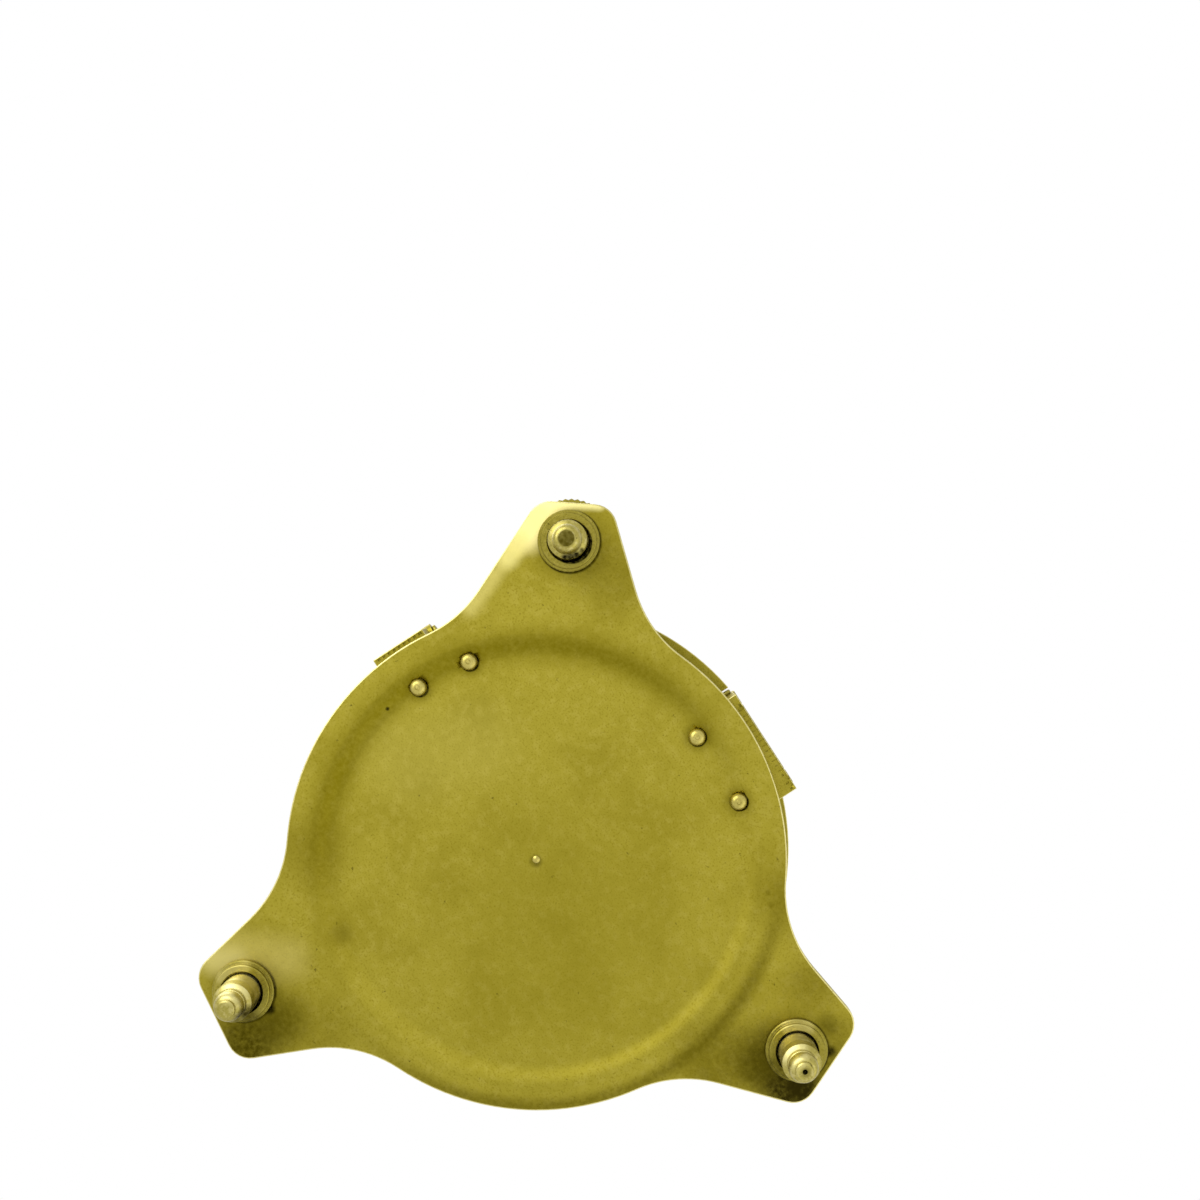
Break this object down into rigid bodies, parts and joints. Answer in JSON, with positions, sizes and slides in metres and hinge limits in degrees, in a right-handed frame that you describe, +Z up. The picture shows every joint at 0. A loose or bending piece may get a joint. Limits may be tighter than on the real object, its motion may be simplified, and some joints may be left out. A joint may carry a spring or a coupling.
{
  "type": "pocket sundial compass",
  "caption": "Flat brass pocket compass on a three-eared plate with levelling screws, spirit levels, a folding hour ring with a gnomon, and a folding latitude arc.",
  "frame": {"origin": "on the needle's pivot axis, in the plane of the three foot tips", "axes": "+Z up through the compass, +Y towards the hour ring's hinge, +X towards the latitude arc's hinge"},
  "size_m": [0.0976, 0.0943, 0.0222],
  "materials": {
    "brass": "satin, aged olive patina",
    "dull_brass": "dull turned brass with dark patina",
    "bright_brass": "rubbed bright",
    "silvered_brass": "matt silvered",
    "blued_steel": "blued",
    "clear_glass": "polished",
    "level_spirit": "clear liquid"
  },
  "bodies": {
    "base": {"base_plate": "brass", "levelling_bush_1": "dull_brass", "levelling_bush_2": "dull_brass", "levelling_bush_3": "dull_brass", "compass_bowl": "brass", "pivot_post": "bright_brass", "dial_plate": "silvered_brass", "glass_seat_ring": "bright_brass", "compass_glass": "clear_glass", "bezel_ring": "brass", "level_case_x": "brass", "level_plugs_x": "dull_brass", "level_vial_x": "clear_glass", "level_spirit_x": "level_spirit", "level_case_y": "brass", "level_plugs_y": "dull_brass", "level_vial_y": "clear_glass", "level_spirit_y": "level_spirit", "ring_bracket": "brass", "ring_bracket_rivets": "bright_brass", "ring_hinge_pin": "dull_brass", "arc_bracket": "brass", "arc_bracket_rivets": "bright_brass", "arc_hinge_pin": "dull_brass"},
    "screw_1": {"levelling_stud_1": "dull_brass"},
    "knob_1": {"knurled_knob_1": "brass"},
    "screw_2": {"levelling_stud_2": "dull_brass"},
    "knob_2": {"knurled_knob_2": "brass"},
    "screw_3": {"levelling_stud_3": "dull_brass"},
    "knob_3": {"knurled_knob_3": "brass"},
    "needle": {"needle": "blued_steel", "needle_cap": "bright_brass"},
    "hour_ring": {"hour_ring": "brass"},
    "gnomon": {"gnomon_bar": "bright_brass", "gnomon_rod": "bright_brass"},
    "latitude_arc": {"latitude_arc": "brass"}
  },
  "joints": [
    {"name": "screw_1_lift", "type": "slide", "parent": "base", "child": "screw_1", "axis": [0, 0, 1], "range_m": [-0.003, 0.003]},
    {"name": "screw_1_turn", "type": "hinge", "parent": "screw_1", "child": "knob_1", "pos_m": [0.03782, 0.03052, 0.0198], "axis": [0, 0, 1], "range_deg": [-1082, 1082]},
    {"name": "screw_2_lift", "type": "slide", "parent": "base", "child": "screw_2", "axis": [0, 0, 1], "range_m": [-0.003, 0.003]},
    {"name": "screw_2_turn", "type": "hinge", "parent": "screw_2", "child": "knob_2", "pos_m": [-0.04534, 0.0175, 0.0198], "axis": [0, 0, 1], "range_deg": [-1082, 1082]},
    {"name": "screw_3_lift", "type": "slide", "parent": "base", "child": "screw_3", "axis": [0, 0, 1], "range_m": [-0.003, 0.003]},
    {"name": "screw_3_turn", "type": "hinge", "parent": "screw_3", "child": "knob_3", "pos_m": [0.00752, -0.04802, 0.0198], "axis": [0, 0, 1], "range_deg": [-1082, 1082]},
    {"name": "needle_turn", "type": "hinge", "parent": "base", "child": "needle", "pos_m": [0, 0, 0.0164], "axis": [0, 0, 1], "continuous": true},
    {"name": "hour_ring_tilt", "type": "hinge", "parent": "base", "child": "hour_ring", "pos_m": [-0.00415, 0.0378, 0.0204], "axis": [-1, 0, 0], "range_deg": [0, 90]},
    {"name": "gnomon_swing", "type": "hinge", "parent": "hour_ring", "child": "gnomon", "pos_m": [0, 0.0006, 0.0204], "axis": [-1, 0, 0], "range_deg": [0, 90]},
    {"name": "latitude_arc_raise", "type": "hinge", "parent": "base", "child": "latitude_arc", "pos_m": [0.0378, 0.0031, 0.0204], "axis": [0, 1, 0], "range_deg": [0, 90]}
  ],
  "couplings": [
    {"joint": "screw_1_turn", "follows": "screw_1_lift", "rad_per_m": 6283.2},
    {"joint": "screw_2_turn", "follows": "screw_2_lift", "rad_per_m": 6283.2},
    {"joint": "screw_3_turn", "follows": "screw_3_lift", "rad_per_m": 6283.2}
  ]
}
